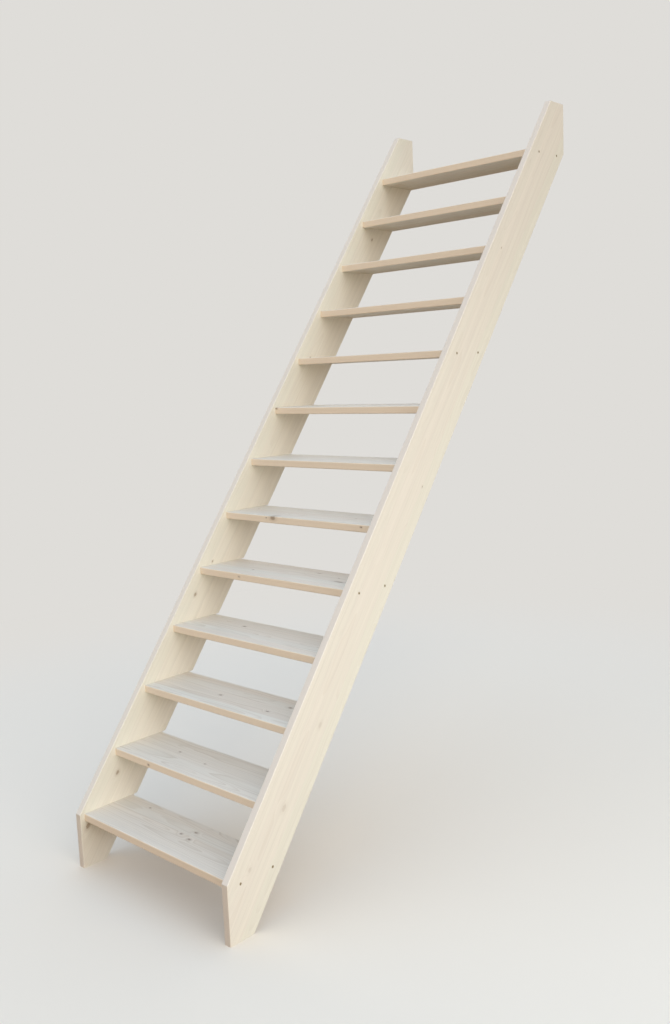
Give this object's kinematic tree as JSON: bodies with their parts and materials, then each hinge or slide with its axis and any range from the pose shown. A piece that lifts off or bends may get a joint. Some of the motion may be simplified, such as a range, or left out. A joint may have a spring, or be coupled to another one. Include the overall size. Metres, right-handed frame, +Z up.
{
  "type": "ship ladder",
  "caption": "Steep open ship ladder in planed softwood: raking side boards with the treads let into them, climbing one storey to a landing.",
  "frame": {"origin": "middle of the left side board's level foot cut, on the floor that the stair stands on", "axes": "+Z up, +X across the stair to the right as you climb it, +Y level along the climb, away from the climber and towards the landing"},
  "size_m": [0.828, 2.05, 2.8],
  "materials": {
    "stringer_wood": "planed spruce board, bare",
    "tread_wood": "planed spruce glued board, bare"
  },
  "bodies": {
    "root": {"stringer_left": "stringer_wood", "stringer_right": "stringer_wood", "tread_01": "tread_wood", "tread_02": "tread_wood", "tread_03": "tread_wood", "tread_04": "tread_wood", "tread_05": "tread_wood", "tread_06": "tread_wood", "tread_07": "tread_wood", "tread_08": "tread_wood", "tread_09": "tread_wood", "tread_10": "tread_wood", "tread_11": "tread_wood", "tread_12": "tread_wood", "tread_13": "tread_wood"}
  },
  "joints": []
}
